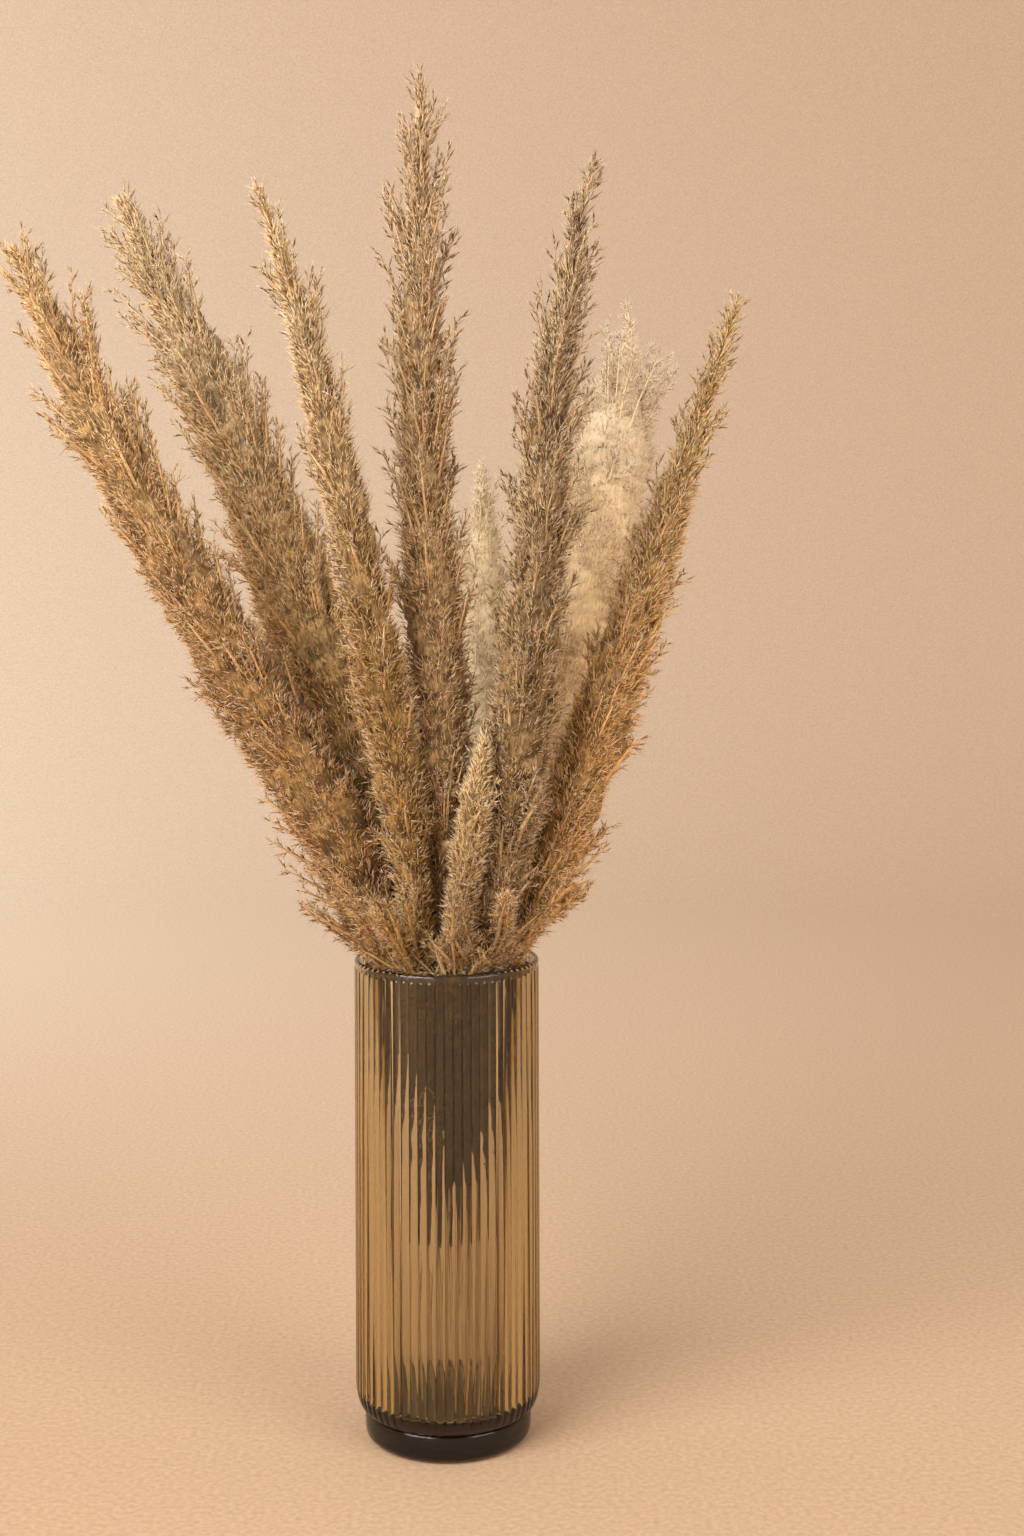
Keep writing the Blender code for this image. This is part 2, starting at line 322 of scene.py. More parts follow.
def addVase():
    # One sixty-fourth of the vase is turned from its profile, its rib is shaped, and it is repeated round
    v = vase
    profile = vaseProfile()
    deselectAll()
    bpy.ops.mesh.primitive_plane_add(size=0.001, location=(0, 0, 0))
    piece = bpy.context.object
    piece.name = "ribbed_glass_vase"
    bpy.ops.object.mode_set(mode="EDIT")
    bpy.ops.mesh.select_mode(type="VERT")
    bpy.ops.mesh.select_all(action="SELECT")
    bpy.ops.mesh.merge(type="CENTER")
    for before, after in zip(profile, profile[1:]):
        step = (after[0] - before[0], 0, after[1] - before[1])
        bpy.ops.mesh.extrude_region_move(TRANSFORM_OT_translate={"value": step})
    bpy.ops.mesh.select_all(action="SELECT")
    oneRib = 2 * math.pi / v["ribs"]
    bpy.ops.mesh.spin(steps=v["ribSteps"], angle=oneRib, center=(0, 0, 0), axis=(0, 0, 1))
    rows = [(r, z, share) for r, z, share in profile if share > 0]
    for column in range(v["ribSteps"] + 1):
        across = column / v["ribSteps"]
        drop = abs(2 * across - 1) ** v["ribCrest"]
        turned = oneRib * across
        for radius, height, share in rows:
            if drop * share == 0:
                continue
            place = (radius * math.cos(turned), radius * math.sin(turned), height)
            selectWhere(piece, lambda co: abs(co.x - place[0]) < 1e-5 and abs(co.z - place[2]) < 1e-5
                        and abs(abs(co.y) - abs(place[1])) < 1e-5)
            scale = 1 - v["ribDepth"] * drop * share / radius
            bpy.ops.transform.resize(value=(scale, scale, 1), center_override=(0, 0, 0))
    bpy.ops.mesh.select_all(action="SELECT")
    bpy.ops.mesh.spin(steps=v["ribs"] - 1, angle=oneRib * (v["ribs"] - 1), center=(0, 0, 0),
                      axis=(0, 0, 1), dupli=True)
    bpy.ops.mesh.select_all(action="SELECT")
    bpy.ops.mesh.remove_doubles(threshold=0.00001)
    bpy.ops.mesh.normals_make_consistent(inside=False)
    bpy.ops.object.mode_set(mode="OBJECT")
    deselectAll()
    piece.select_set(True)
    bpy.context.view_layer.objects.active = piece
    bpy.ops.object.shade_smooth_by_angle(angle=math.radians(35))
    piece.data.materials.append(glassMaterial())
    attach(piece, "root")
    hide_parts("vase")
    print("vase built,", len(piece.data.polygons), "faces")


# Plumes: nine dried pampas heads. Each grows from its line: a felted core in tongues under a coat of
# husks, clustered branches that end on the plume's outline, twigs round each branch, and husks and
# silky hairs on the twigs. The foot is the cane's place on the floor of the vase, and the way goes on
# from the neck to the tip. The width is half of the plume's, the spread how far its low branches reach
# on the side that it leans to, the tip the share of its length that rounds off, and upper its width
# below that, as a share. It is woolly below the first felt share and bare above the second, and its
# straw goes from low to high.
plumes = {
    "far_left": {
        "foot": (0.030, -0.024),
        "way": [(-0.022, -0.006, 0.286), (-0.056, -0.010, 0.386), (-0.141, -0.028, 0.527),
                (-0.211, -0.046, 0.664), (-0.257, -0.060, 0.768)],
        "width": 0.028, "spread": 0.066, "tip": 0.10, "upper": 0.98, "branches": 215, "coat": 10500,
        "dark": 0.34, "hairs": 1.3, "felt": (0.50, 1.15), "neckDrop": 0.150,
        "slot": "golden_plume", "seed": 21, "low": "#d4a563", "high": "#fcd490"},
    "left": {
        "foot": (0.033, 0.015),
        "way": [(-0.016, 0.020, 0.288), (-0.036, 0.029, 0.390), (-0.083, 0.043, 0.506),
                (-0.145, 0.062, 0.661), (-0.221, 0.080, 0.816)],
        "width": 0.038, "spread": 0.046, "tip": 0.15, "upper": 0.84, "branches": 250, "coat": 15500,
        "dark": 0.30, "hairs": 1.3, "felt": (0.45, 1.05), "neckDrop": 0.150,
        "slot": "brown_plume", "seed": 12, "low": "#f6c679", "high": "#fcdda5"},
    "centre_left": {
        "foot": (0.018, -0.036),
        "way": [(-0.012, -0.025, 0.288), (-0.024, -0.034, 0.412), (-0.048, -0.059, 0.561),
                (-0.078, -0.083, 0.701), (-0.106, -0.100, 0.797)],
        "width": 0.020, "spread": 0.024, "tip": 0.16, "upper": 0.90, "branches": 150, "coat": 8000,
        "dark": 0.32, "hairs": 1.2, "felt": (0.40, 1.00), "neckDrop": 0.125,
        "slot": "golden_plume", "seed": 13, "low": "#cb9e52", "high": "#fcdda5"},
    "centre": {
        "foot": (0.015, -0.002),
        "way": [(-0.001, -0.008, 0.290), (-0.004, -0.017, 0.472), (-0.013, -0.029, 0.669),
                (-0.011, -0.040, 0.866)],
        "width": 0.026, "spread": 0.026, "tip": 0.16, "upper": 0.90, "branches": 200, "coat": 10500,
        "dark": 0.46, "hairs": 1.1, "felt": (0.30, 0.85), "neckDrop": 0.165,
        "slot": "brown_plume", "seed": 14, "low": "#ecc486", "high": "#f3d098"},
    "centre_right": {
        "foot": (-0.018, -0.015),
        "way": [(0.020, -0.024, 0.290), (0.038, -0.032, 0.392), (0.056, -0.053, 0.549),
                (0.067, -0.072, 0.684), (0.088, -0.090, 0.803)],
        "width": 0.027, "spread": 0.029, "tip": 0.22, "upper": 0.86, "branches": 195, "coat": 10500,
        "dark": 0.46, "hairs": 1.2, "felt": (0.32, 0.85), "neckDrop": 0.185,
        "slot": "brown_plume", "seed": 15, "low": "#c7a369", "high": "#e7c895"},
    "pale_right": {
        "foot": (0.010, 0.030),
        "way": [(0.022, 0.024, 0.292), (0.049, 0.046, 0.385), (0.095, 0.104, 0.569),
                (0.112, 0.128, 0.655), (0.126, 0.150, 0.742)],
        "width": 0.040, "spread": 0.040, "tip": 0.11, "upper": 1.00, "branches": 175, "coat": 17500,
        "dark": 0.05, "hairs": 1.9, "felt": (0.80, 1.30), "neckDrop": 0.125,
        "slot": "cream_plume", "seed": 16, "low": "#fcd590", "high": "#fce6ba"},
    "right": {
        "foot": (-0.010, 0.004),
        "way": [(0.028, 0.002, 0.288), (0.060, -0.001, 0.368), (0.110, -0.004, 0.505),
                (0.156, -0.008, 0.652), (0.183, -0.010, 0.737)],
        "width": 0.026, "spread": 0.036, "tip": 0.34, "upper": 0.72, "branches": 180, "coat": 9500,
        "dark": 0.28, "hairs": 1.2, "felt": (0.40, 1.00), "neckDrop": 0.170,
        "slot": "golden_plume", "seed": 17, "low": "#f9c87d", "high": "#f3d08d"},
    "pale_centre": {
        "foot": (0.016, 0.038),
        "way": [(0.004, 0.034, 0.294), (0.014, 0.055, 0.379), (0.022, 0.106, 0.556),
                (0.020, 0.130, 0.641)],
        "width": 0.020, "spread": 0.020, "tip": 0.16, "upper": 1.00, "branches": 80, "coat": 6000,
        "dark": 0.05, "hairs": 1.9, "felt": (0.70, 1.20), "neckDrop": 0.125,
        "slot": "cream_plume", "seed": 18, "low": "#fce5b3", "high": "#fce4b0"},
    "short": {
        "foot": (0.034, 0.000),
        "way": [(0.006, -0.038, 0.296), (0.014, -0.047, 0.380), (0.026, -0.062, 0.468)],
        "width": 0.014, "spread": 0.016, "tip": 0.20, "upper": 0.90, "branches": 60, "coat": 2400,
        "dark": 0.25, "hairs": 1.6, "felt": (0.60, 1.10), "neckDrop": 0.080,
        "slot": "golden_plume", "seed": 19, "low": "#cba265", "high": "#fcdb99"},
}
plumeForm = {
    "neckShare": 0.42,            # width of the neck, as a share of the widest
    "neckLength": 0.26,           # share of the plume's length where it has widened in full
    "crowdTop": 0.480,            # metres up to where the plumes crowd together
    "lockSqueeze": 0.72,          # and how much narrower that makes them
    "spreadLength": 0.50,         # share of the length with spreading branches
    "spreadGain": 1.6,
    "upright": 0.050,             # metres: a plume that leans less far has no leaning side
    "cluster": 5,                 # branches whose tips gather into one tuft
    "clusterAlong": 0.0080,       # metres, scatter of those tips along the plume
    "clusterRound": 0.26,         # radians, and round it
    "loose": 0.25,                # share of the branches that gather in no tuft
    "leaderReach": (0.97, 1.07),  # how far a tuft's first branch reaches, as a share of the outline
    "reach": (0.72, 1.02),        # and the others
    "lean": (16, 30),             # degrees of a branch from the cane: upper, and low spreading ones
    "downRadius": (0.0008, 0.022),  # metres, and share of the plume's half width
    "creamFine": 0.74,            # how much finer the pale plumes' husks are
    "coreShare": (0.32, 0.66),    # the felt of down in the middle, as a share of the half width
    "coreEnd": 0.985,
    "coreSwell": 0.16,            # how far it follows the low spreading branches
    "coreGap": 0.0042,            # metres between the rings of the core
    "coreSides": 18,
    "coreLump": 0.10,
    "tongue": 0.036,              # metres from one tongue of down to the next along the core
    "tongueStep": 0.20,           # how far its end stands out, as a share of the core's radius
    "tongueShade": 0.20,
    # painted shade: the core is coloured dark, so that it reads as the shadow between the husks
    "coreShadowTone": 0.12,
    "coreDarkest": 0.06,
    "coatDarkest": 0.08,
    "coatLean": (12, 44),         # degrees of the coat's husks from the cane
    "coatHusks": 0.66,            # share of husks in the coat, and the rest are hairs
    "huskLength": (0.0050, 0.0088),
    "huskWidth": 0.00118,
    "neckBranches": 13,           # lowest branches, folded up inside the vase and darkened with painted shade
    "neckReach": (0.006, 0.036),
    "neckBody": 2.10,             # the felt inside the vase, as a share of the half width; its near-black colour is painted shade
    "neckShade": -0.34,
    "neckTop": 0.001,             # metres from the rim up to the top of that felt
    "neckRings": 28,
    "neckSides": 14,
    "skirtBranches": 11,          # lowest branches that lie over the rim
    "skirtHeight": (0.008, 0.060),
    "skirtShade": -0.06,
    "lowShade": -0.02,
    "twigGap": 0.0036,            # metres between twigs along a branch
    "twigLength": (0.0060, 0.0120),
    "twigLean": (18, 48),
    "twigWidth": 0.00050,
    "spikeletLength": (0.0048, 0.0076),
    "spikeletWidth": 0.00130,
    "hairLength": (0.0050, 0.0095),
    "hairWidth": 0.00052,
    "goldenTurn": math.pi * (3 - 5 ** 0.5),
    "proud": 0.004,               # metres that a hair may stand out of the frame's box
    "huskTones": [(0.00, "#303030"), (0.08, "#7c7c7c"), (0.20, "#bcbcbc"), (0.40, "#e7e7e7"),
                  (0.66, "#ffffff")],
    "creamTones": [(0.00, "#272727"), (0.06, "#cbcbcb"), (0.20, "#f1f1f1"), (0.40, "#fcfcfc"),
                   (0.66, "#ffffff")],
    "silk": "#fbf4e6",
    "bleached": (0.42, 0.42),     # share of the way up where a plume begins to pale, and over how much
}


def smoothPath(points, count, first=0, last=None):
    # a smooth curve through the points: evenly spaced places on it from knot first to knot last
    knots = np.array(points, float)
    gaps = np.linalg.norm(np.diff(knots, axis=0), axis=1)
    runs = np.diff(knots, axis=0) / gaps[:, None]
    slopes = np.concatenate([runs[:1], (runs[:-1] * gaps[:-1, None] + runs[1:] * gaps[1:, None])
                             / (gaps[:-1] + gaps[1:])[:, None], runs[-1:]])
    starts = np.concatenate([[0], np.cumsum(gaps)])
    along = np.linspace(starts[first], starts[-1 if last is None else last], count)
    k = np.clip(np.searchsorted(starts, along, side="right") - 1, 0, len(gaps) - 1)
    u = ((along - starts[k]) / gaps[k])[:, None]
    g = gaps[k][:, None]
    return (knots[k] * (2 * u**3 - 3 * u**2 + 1) + slopes[k] * g * (u**3 - 2 * u**2 + u)
            + knots[k + 1] * (3 * u**2 - 2 * u**3) + slopes[k + 1] * g * (u**3 - u**2))


def anyTurn(rng, count):
    return rng.uniform(0, 2 * math.pi, count)


def unit(v):
    return v / np.maximum(np.linalg.norm(v, axis=-1, keepdims=True), 1e-9)


def sideways(directions):
    # two unit vectors across each direction
    helper = np.where(np.abs(directions[..., 2:3]) > 0.9, [[1.0, 0, 0]], [[0, 0, 1.0]])
    one = unit(np.cross(directions, helper))
    return one, np.cross(directions, one)


def tilted(directions, lean, turn):
    # each direction leant by an angle towards a side given by a turn about it
    one, two = sideways(directions)
    side = one * np.cos(turn)[:, None] + two * np.sin(turn)[:, None]
    return unit(directions * np.cos(lean)[:, None] + side * np.sin(lean)[:, None])


def modelledOnce(kind):
    # one hair or husk, 1 long and 1 wide, pointing up from the origin; read, and then removed
    deselectAll()
    bpy.ops.mesh.primitive_cone_add(vertices=3, radius1=0.5, radius2=0, depth=1, location=(0, 0, 0.5))
    shape = bpy.context.object
    bpy.ops.object.transform_apply(location=True, rotation=True, scale=True)
    if kind == "husk":
        # the two front corners of the base go up to the blade's widest place, the rear one to its foot
        bpy.ops.object.mode_set(mode="EDIT")
        bpy.ops.mesh.select_mode(type="VERT")
        selectWhere(shape, lambda co: abs(co.x) > 0.2)
        bpy.ops.transform.translate(value=(0, 0.37, 0.38))
        bpy.ops.transform.resize(value=(1.155, 1, 1), center_override=(0, 0, 0))
        selectWhere(shape, lambda co: co.y > 0.3)
        bpy.ops.transform.translate(value=(0, -0.5, 0))
        bpy.ops.mesh.select_all(action="SELECT")
        bpy.ops.mesh.normals_make_consistent(inside=False)
        bpy.ops.object.mode_set(mode="OBJECT")
    shape.data.calc_loop_triangles()
    verts = np.array([vert.co[:] for vert in shape.data.vertices])
    faces = np.array([triangle.vertices[:] for triangle in shape.data.loop_triangles])
    bpy.data.objects.remove(shape)
    return verts, faces


def store(heap, points, faces, tone, warm):
    # many copies of one shape join the heap: points is copies x vertices x 3
    count, size = points.shape[:2]
    start = heap["size"]
    heap["points"].append(points.reshape(-1, 3))
    heap["faces"].append((faces[None] + (start + np.arange(count) * size)[:, None, None]).reshape(-1, 3))
    heap["tone"].append(tone.reshape(-1))
    heap["warm"].append(np.repeat(warm, size))
    heap["size"] = start + count * size


def fits(points):
    # true where a point is in the frame's box, or just proud of it, and clear of the glass
    inBox = ((points > cadLow - plumeForm["proud"]) & (points < cadHigh + plumeForm["proud"])).all(-1)
    radius = np.hypot(points[..., 0], points[..., 1])
    return inBox & ~((points[..., 2] < vase["height"] + 0.003) & (radius > vase["boreRadius"] - 0.0012))


def stamp(heap, shape, base, aim, long, wide, tone, warm, rng):
    # one copy of the shape at each base, pointing along its aim; tone is (at the base, at the tip)
    verts, faces = shape
    keep = fits(base) & fits(base + aim * long[:, None])
    base, aim, long, wide, warm = base[keep], aim[keep], long[keep], wide[keep], warm[keep]
    low, high = tone[0][keep], tone[1][keep]
    one, two = sideways(aim)
    spin = anyTurn(rng, len(base))
    a = one * np.cos(spin)[:, None] + two * np.sin(spin)[:, None]
    b = np.cross(aim, a)
    points = (base[:, None] + verts[None, :, 0:1] * (a * wide[:, None])[:, None]
              + verts[None, :, 1:2] * (b * wide[:, None])[:, None]
              + verts[None, :, 2:3] * (aim * long[:, None])[:, None])
    store(heap, points, faces, low[:, None] + (high - low)[:, None] * verts[None, :, 2], warm)


def tubes(heap, paths, radii, sides, tone, warm, level=False):
    # a closed tube along each path, with its rings across the path, or all of them level; radii is
    # paths x rings, or paths x rings x sides for a lumpy one
    count, rings = paths.shape[:2]
    radii = np.broadcast_to(radii.reshape(count, rings, -1), (count, rings, sides))
    tangent = np.tile([0, 0, 1.0], (count, rings, 1)) if level else unit(np.gradient(paths, axis=1))
    one = unit(np.cross(tangent, sideways(tangent[:, 0])[1][:, None]))
    two = np.cross(tangent, one)
    turn = np.linspace(0, 2 * math.pi, sides, endpoint=False)
    ring = one[:, :, None] * np.cos(turn)[:, None] + two[:, :, None] * np.sin(turn)[:, None]
    points = (paths[:, :, None] + ring * radii[..., None]).reshape(count, rings * sides, 3)
    ends = np.stack([paths[:, 0] - tangent[:, 0] * radii[:, 0, :1],
                     paths[:, -1] + tangent[:, -1] * radii[:, -1, :1]], 1)
    points = np.concatenate([points, ends], 1)
    # felt inside the vase is pressed against the glass, and doesn't pass through it
    spread = np.hypot(points[..., 0], points[..., 1])
    room = np.where(points[..., 2] < vase["height"] + 0.003, vase["boreRadius"] - 0.0012, 1.0)
    points[..., :2] *= np.minimum(1, room / np.maximum(spread, 1e-6))[..., None]
    faces = []
    foot, head = rings * sides, rings * sides + 1
    for k in range(sides):
        n = (k + 1) % sides
        faces.append((foot, n, k))
        for r in range(0, (rings - 1) * sides, sides):
            faces += [(r + k, r + n, r + sides + n), (r + k, r + sides + n, r + sides + k)]
        faces.append(((rings - 1) * sides + k, (rings - 1) * sides + n, head))
    if tone.ndim == 2:
        tone = np.repeat(tone[:, :, None], sides, axis=2)
    tones = tone.reshape(count, rings * sides)
    store(heap, points, np.array(faces), np.concatenate([tones, tones[:, :1], tones[:, -1:]], 1), warm)


def plumeWidth(plume, share):
    # half width along the plume, as a share of its widest: neck, long body, rounded tip
    f = plumeForm
    neck = f["neckShare"] + (1 - f["neckShare"]) * np.minimum(1, share / f["neckLength"])
    upper = 1 - (1 - plume["upper"]) * np.maximum(0, (share - f["neckLength"]) / (1 - f["neckLength"]))
    tip = np.minimum(1, (1 - share) / plume["tip"]) ** 0.6
    return neck * upper * tip


def plumeFrame(plume):
    # the plume's line, its directions across, and the line of its cane inside the vase
    knots = [(*plume["foot"], vase["floorHeight"] + 0.0003), *plume["way"]]
    line = smoothPath(knots, 161, 1)
    tangents = unit(np.gradient(line, axis=0))
    one = unit(np.cross(tangents, [0, 1.0, 0]))
    return {"line": line, "tangent": tangents, "one": one, "two": np.cross(tangents, one),
            "length": np.linalg.norm(np.diff(line, axis=0), axis=1).sum(),
            "cane": smoothPath(knots, 61, 0, 1)}


def at(table, share):
    # places or directions at these shares of the way along a table of them
    grid = np.linspace(0, 1, len(table))
    return np.stack([np.interp(share, grid, table[:, k]) for k in range(3)], -1)


def byHeight(table, height):
    # places on a rising line, by their height
    return np.stack([np.interp(height, table[:, 2], table[:, axis]) for axis in range(3)], -1)


def around(frame, share, turn):
    return at(frame["one"], share) * np.cos(turn)[:, None] + at(frame["two"], share) * np.sin(turn)[:, None]


def outwardOf(frame):
    # the level direction that the plume leans in, or nothing where it stands upright
    lean = (frame["line"][-1] - frame["line"][0]) * [1, 1, 0]
    return unit(lean) if np.linalg.norm(lean) > plumeForm["upright"] else np.zeros(3)


def squeezed(frame, share, facing):
    # plumes stand closer, and so are narrower, where they crowd together above the vase
    f = plumeForm
    free = (at(frame["line"], share)[:, 2] - vase["height"]) / (f["crowdTop"] - vase["height"])
    return f["lockSqueeze"] + (1 - f["lockSqueeze"]) * np.maximum(np.clip(free, 0, 1), facing)


def isCream(plume):
    return plume["slot"] == "cream_plume"


def fineness(plume):
    return plumeForm["creamFine"] if isCream(plume) else 1.0


def woolliness(plume, share):
    # 1 where the plume is felted down, 0 where its husks stand bare
    low, high = plume["felt"]
    return np.clip((high - share) / (high - low), 0, 1)


def footShade(share):
    # a plume is a little darker towards its foot, where it stands in the others' shade
    return plumeForm["lowShade"] * np.clip(1 - share / 0.35, 0, 1)


def along(bend, u):
    # places on bent lines, each given by its two ends and the knot between them
    return bend[..., 0, :] * (1 - u)**2 + bend[..., 1, :] * 2 * u * (1 - u) + bend[..., 2, :] * u**2


def outlineBranches(plume, frame, rng):
    # each branch is a bent line from the cane to the plume's outline, or to a little inside it;
    # tufts are spaced so that they cover the outline evenly, and branches gather into them
    f = plumeForm
    line, length = frame["line"], frame["length"]
    grid = np.linspace(0, 1, len(line))
    count = plume["branches"]
    tufts = count // f["cluster"]
    crowd = np.cumsum(0.55 + plumeWidth(plume, grid) + 0.9 * (grid < 0.30) + 0.8 * (grid > 0.86))
    spread = (np.arange(tufts) + rng.uniform(0.1, 0.9, tufts)) / tufts
    tuftEnd = np.interp(spread, crowd / crowd[-1], grid)
    tuftTurn = np.arange(tufts) * f["goldenTurn"] + rng.normal(0, 0.2, tufts)
    tuft = np.arange(count) % tufts
    leader = np.arange(count) < tufts
    loose = rng.uniform(0, 1, count) < f["loose"]
    end = tuftEnd[tuft] + rng.normal(0, f["clusterAlong"] / length, count) - np.where(leader, 0, 0.008)
    end = np.clip(np.where(loose, rng.uniform(0.04, 0.99, count), end), 0.03, 0.996)
    turn = np.where(loose, anyTurn(rng, count),
                    tuftTurn[tuft] + rng.normal(0, f["clusterRound"], count))
    depth = np.where(leader, rng.uniform(*f["leaderReach"], count), rng.uniform(*f["reach"], count))

    away = around(frame, end, turn)
    facing = np.maximum(0, away @ outwardOf(frame))
    lowPart = np.maximum(0, 1 - end / f["spreadLength"])
    reach = plume["width"] * plumeWidth(plume, end) * squeezed(frame, end, facing)
    reach += (plume["spread"] - plume["width"]) * facing**2 * np.minimum(1, lowPart * f["spreadGain"])
    reach *= depth
    angle = f["lean"][0] + (f["lean"][1] - f["lean"][0]) * facing * lowPart
    angle = np.radians(angle) * rng.uniform(0.85, 1.2, count)
    root = np.maximum(0.0, end - np.clip(reach / np.tan(angle), 0.016, 0.105) / length)
    knee = at(line, root + (end - root) * 0.55) + away * (reach * 0.30)[:, None]
    bend = np.stack([at(line, root), knee, at(line, end) + away * reach[:, None]], 1)
    return bend, end, reach, footShade(end)


def neckBranches(plume, frame, rng):
    # the lowest branches stay folded up inside the vase, pressed to the cane and darkened as painted shade
    f = plumeForm
    count = f["neckBranches"]
    top = frame["cane"][-1, 2]
    height = top + 0.012 - plume["neckDrop"] * rng.uniform(0.0, 1.0, count)
    turn = anyTurn(rng, count)
    room = np.clip(1 - (top - height) / (plume["neckDrop"] * 1.2), 0.1, 1)
    side = np.stack([np.cos(turn), np.sin(turn), np.zeros(count)], -1)
    low, high = f["neckReach"]
    side *= (low + (high - low) * room * rng.uniform(0.3, 1, count))[:, None]
    rise = np.clip(height[:, None] + [-0.045, -0.015, 0.0], frame["cane"][0, 2], None)
    bend = np.stack([byHeight(frame["cane"], rise[:, k]) + side * reachShare
                     for k, reachShare in enumerate((0, 0.6, 1))], 1)
    bend[:, 2, 2] = height
    shade = f["neckShade"] * np.clip((top - height) / 0.04, 0.5, 1)
    return bend, np.zeros(count), np.linalg.norm(side, axis=1), shade


def skirtBranches(plume, frame, rng):
    # the next ones lie over the rim, most of them on the side that the plume leans to
    f = plumeForm
    count = f["skirtBranches"]
    outward = outwardOf(frame)
    middle = math.atan2(outward[1], outward[0]) if outward.any() else rng.uniform(0, 2 * math.pi)
    turn = middle + rng.normal(0, 0.9 if outward.any() else 1.8, count)
    up = rng.uniform(*f["skirtHeight"], count)
    radius = rng.uniform(0.046, 0.060, count) + 0.42 * up
    side = np.stack([np.cos(turn), np.sin(turn), np.zeros(count)], -1)
    tip = side * radius[:, None] + [0, 0, vase["height"]] + [0, 0, 1] * up[:, None]
    root = at(frame["line"], rng.uniform(0.0, 0.05, count))
    knee = root * 0.45 + tip * 0.55
    knee[:, 2] = np.maximum(knee[:, 2], vase["height"] + 0.004) - 0.004 + up * 0.1
    bend = np.stack([root, knee, tip], 1)
    return bend, np.full(count, 0.03), np.linalg.norm(tip - root, axis=1), np.full(count, f["skirtShade"])


def growBranches(plume, frame, rng):
    groups = [grow(plume, frame, rng) for grow in (outlineBranches, neckBranches, skirtBranches)]
    bend, end, reach, shade = [np.concatenate(parts) for parts in zip(*groups)]
    clear = fits(along(bend[:, None], np.linspace(0, 1, 7)[None, :, None])).all(1)
    return bend[clear], end[clear], reach[clear], shade[clear]


def coreLine(plume, frame, share):
    # the middle of the core, drawn towards the low branches that spread out on the leaning side
    f = plumeForm
    outward = outwardOf(frame)
    tangent = at(frame["tangent"], share)
    across = unit(outward - tangent * (tangent @ outward)[:, None])
    swell = np.clip((1 - share / f["spreadLength"]) * f["spreadGain"], 0, 1) * np.clip(share / 0.10, 0, 1)
    swell *= f["coreSwell"] * (plume["spread"] - plume["width"])
    return at(frame["line"], share) + across * swell[:, None], swell


def coreRadius(plume, frame, share):
    f = plumeForm
    low, high = f["coreShare"]
    inner = low + (high - low) * woolliness(plume, share)
    close = 0.12 + 0.88 * np.clip((f["coreEnd"] - 0.02 - share) / 0.20, 0, 1) ** 0.7
    narrow = plume["width"] * plumeWidth(plume, share) * squeezed(frame, share, 0)
    return inner * close * narrow + coreLine(plume, frame, share)[1]


def growCore(heap, plume, frame, rng):
    # the felt of down in the middle of the plume: one closed body along the cane, whose surface lies in
    # tongues that overlap like shingles and point upwards
    f = plumeForm
    rings, sides = int(frame["length"] / f["coreGap"]), f["coreSides"]
    share = np.linspace(0.01, f["coreEnd"] - 0.01, rings)
    turn = np.linspace(0, 2 * math.pi, sides, endpoint=False)
    wander = np.zeros((rings, sides))
    for wave in (1, 2, 3, 5):
        wander += 0.75 * np.sin(wave * turn + rng.uniform(-14, 14) * share[:, None] + rng.uniform(0, 6.3))
    tongue = (share[:, None] * frame["length"] / f["tongue"] + wander) % 1.0
    stand = f["tongueStep"] * (0.4 if isCream(plume) else 1.0)
    lumps = 1 + stand * (tongue - 0.5) + rng.normal(0, 0.05, (rings, sides))
    for wave in range(5):
        climb = rng.uniform(15, 60) * share[:, None]
        lumps += f["coreLump"] / 1.6 * np.cos(rng.integers(1, 5) * turn + climb + rng.uniform(0, 6))
    radius = np.maximum(0.0004, coreRadius(plume, frame, share))[:, None] * np.maximum(0.45, lumps)
    # painted shade: the core is dark so that it reads as shadow between the husks, darker at its foot and
    # at each tongue's foot
    tone = f["coreShadowTone"] + footShade(share)[:, None] + 0.4 * f["tongueShade"] * (tongue - 0.5)
    tone = np.maximum(tone + rng.normal(0, 0.03, (rings, sides)), f["coreDarkest"])
    tubes(heap, coreLine(plume, frame, share)[0][None], radius[None], sides, tone[None], np.array([0.45]))

    # at the rim the felt fills the vase; below it hangs in tongues that narrow towards the cane
    rows, columns = f["neckRings"], f["neckSides"]
    depth = np.linspace(0, 1, rows)
    height = vase["height"] + f["neckTop"] - plume["neckDrop"] * (1 - depth)
    path = np.where((height < frame["cane"][-1, 2])[:, None], byHeight(frame["cane"], height),
                    byHeight(frame["line"], height))
    hang = np.clip(depth[:, None] + rng.uniform(-0.35, 0.20, columns), 0, 1)
    fat = plume["width"] * f["neckBody"] * (0.05 + 0.95 * hang ** 0.9)
    fat *= np.minimum(1, 0.06 + 0.94 * ((1 - depth) / 0.16) ** 0.7)[:, None]
    fat *= 1 + rng.normal(0, 0.10, (rows, columns))
    # painted shade: the felt inside the vase is coloured near black, with a few lighter columns
    shade = 0.004 + rng.uniform(0, 0.012, (rows, columns)) + 0.045 * rng.uniform(0, 1, columns) ** 2.5
    tubes(heap, path[None], np.maximum(fat, 0.0006)[None], columns, shade[None], np.array([0.45]),
          level=True)
    return radius, tongue


